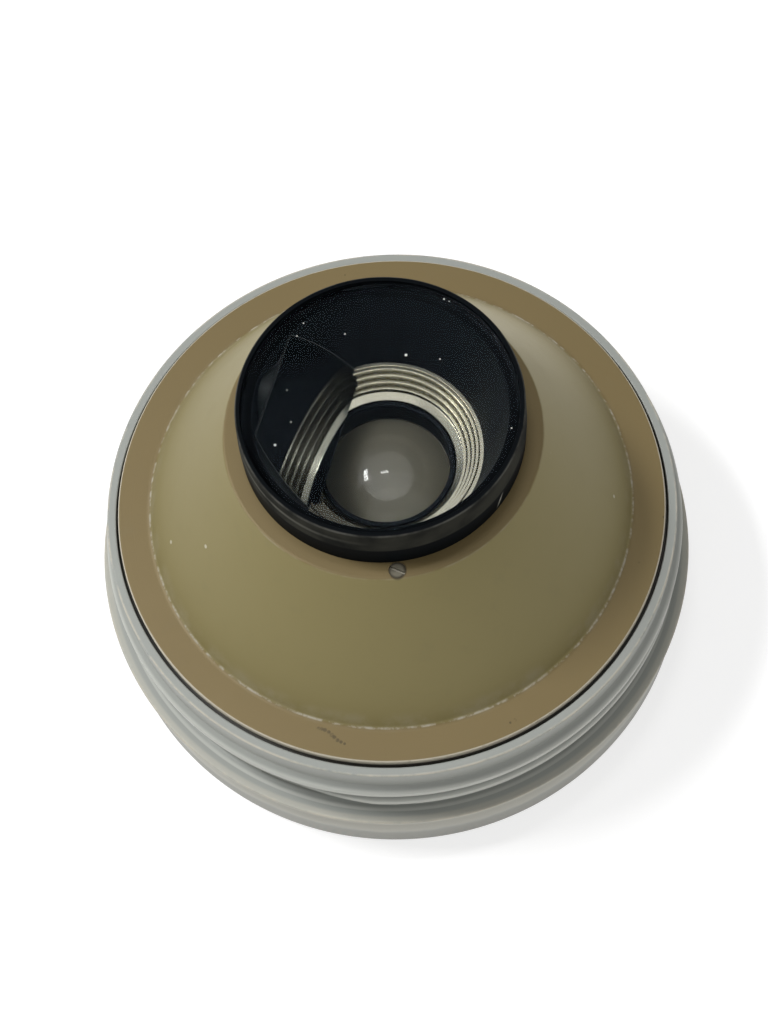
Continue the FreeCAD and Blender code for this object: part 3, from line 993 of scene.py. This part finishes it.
# lock screw
def screwSteel():
    f = Finish("screwSteel")
    cloud = f.noise(900.0, 3.0)
    fine = f.noise(4000.0, 2.0)
    colour = f.mix(cloud, (0.07, 0.062, 0.042), (0.20, 0.185, 0.14))
    # darker round the head's edge, and bare metal in the slot
    headEdgeDark = f.ease(f.distance(*screwPlace()), 0.45, 0.66)
    colour = f.mix(headEdgeDark * 0.8, colour, (0.03, 0.024, 0.013))
    screwTop = cadSize("lock_screw")[2]
    colour = f.mix(f.ease(f.z, screwTop - 0.08, screwTop - 0.2), colour, (0.36, 0.34, 0.28))
    return f.done(f.surface({"Base Color": colour, "Metallic": 0.55,
                             "Roughness": 0.4 + 0.2 * cloud,
                             "Normal": f.bump(fine, 0.006, 0.4)}))


dressNode("lock_screw", screwSteel())
print("screw finished")


# studio: a pale floor, soft lamps and a plain world
studio = {
    "floorRadius": 2500.0,    # millimetres
    "floorSides": 96,
    "floorColour": (0.45, 0.45, 0.45),
    "floorGlow": 0.68,
    "floorWhite": (90.0, 420.0),     # distances between which the floor turns into plain white
    "floorBounce": (0.78, 0.77, 0.74),
    "floorLight": 0.44,
    "worldLevel": 0.17,
    "aimHeight": 0.02,        # metres
}
lamps = [     # name, direction, distance, direction of width, size, share, seen in reflections
    ("windowLamp", (-0.508, 0.184, 0.841), 0.60, (0, 1, 0), (0.16, 0.06), 0.66, True),
    ("ceilingLamp", (-0.057, 0.161, 0.985), 0.55, (1, 0, 0), (0.11, 0.035), 0.13, True),
    ("fillLamp", (-0.02, -0.34, 0.94), 0.60, (1, 0, 0), (0.80, 0.60), 0.25, False),
]


def addLamp(name, direction, distance, across, size, share, mirrored):
    # a rectangle that faces the object, its width along across, in metres; share is what a
    # white surface that faces the lamp would gain: power = share * pi^2 * distance^2
    data = bpy.data.lights.new(name, "AREA")
    data.shape = "RECTANGLE"
    data.size, data.size_y = size
    data.energy = share * math.pi ** 2 * distance ** 2
    towards = Vector(direction).normalized()
    wide = (Vector(across) - towards * Vector(across).dot(towards)).normalized()
    turn = Matrix((wide, towards.cross(wide), towards)).transposed()
    place = towards * distance + Vector((0, 0, studio["aimHeight"]))
    lamp = placeThing(name, data)
    lamp.matrix_world = Matrix.Translation(place) @ turn.to_4x4()
    lamp.visible_glossy = mirrored


def glowingMatte(f, colour, light, level):
    matte = f.node("ShaderNodeBsdfDiffuse", sockets={0: colour})
    glow = f.node("ShaderNodeEmission", sockets={0: light, 1: level})
    return f.node("ShaderNodeAddShader", sockets={0: matte, 1: glow})


def addFloor():
    s = studio
    white = (1.0, 1.0, 1.0)
    turn = roundAngles(s["floorSides"])
    ring = np.stack([np.cos(turn), np.sin(turn), np.zeros(len(turn))], axis=1)
    floor = plainThing("floor", ring * s["floorRadius"], [tuple(range(len(turn)))])
    f = Finish("floorWhite")
    path = f.node("ShaderNodeLightPath")
    seen = greatest(path.also("Is Camera Ray"), path.also("Is Glossy Ray"),
                    path.also("Is Transmission Ray"))
    # what is seen is near white, with the object's shadow, and plain white farther away
    near = glowingMatte(f, s["floorColour"], white, s["floorGlow"])
    far = f.node("ShaderNodeEmission", sockets={0: white, 1: 1.0})
    shown = f.blend(f.ease(f.radius(), *s["floorWhite"]), near, far)
    # what lights the object from below
    bounce = glowingMatte(f, s["floorBounce"], (1.0, 0.98, 0.94), s["floorLight"])
    dress(floor, f.done(f.blend(seen, bounce, shown)))


def addWorld():
    world = bpy.data.worlds.new("studioWorld")
    world.use_nodes = True
    tree = world.node_tree
    tree.nodes.clear()
    # white to the camera, in reflections and through glass, dimmer as a light
    path = tree.nodes.new("ShaderNodeLightPath")
    seen = path.outputs["Is Camera Ray"]
    for kind in ("Is Transmission Ray", "Is Glossy Ray"):
        either = tree.nodes.new("ShaderNodeMath")
        either.operation = "MAXIMUM"
        tree.links.new(seen, either.inputs[0])
        tree.links.new(path.outputs[kind], either.inputs[1])
        seen = either.outputs[0]
    level = tree.nodes.new("ShaderNodeMapRange")
    level.inputs["To Min"].default_value = studio["worldLevel"]
    level.inputs["To Max"].default_value = 1.0
    tree.links.new(seen, level.inputs["Value"])
    background = tree.nodes.new("ShaderNodeBackground")
    background.inputs["Color"].default_value = (1.0, 1.0, 1.0, 1.0)
    tree.links.new(level.outputs[0], background.inputs["Strength"])
    output = tree.nodes.new("ShaderNodeOutputWorld")
    tree.links.new(background.outputs[0], output.inputs["Surface"])
    bpy.context.scene.world = world


addFloor()
addWorld()
for lamp in lamps:
    addLamp(*lamp)
bpy.context.scene.view_settings.view_transform = "Standard"
print("studio set")
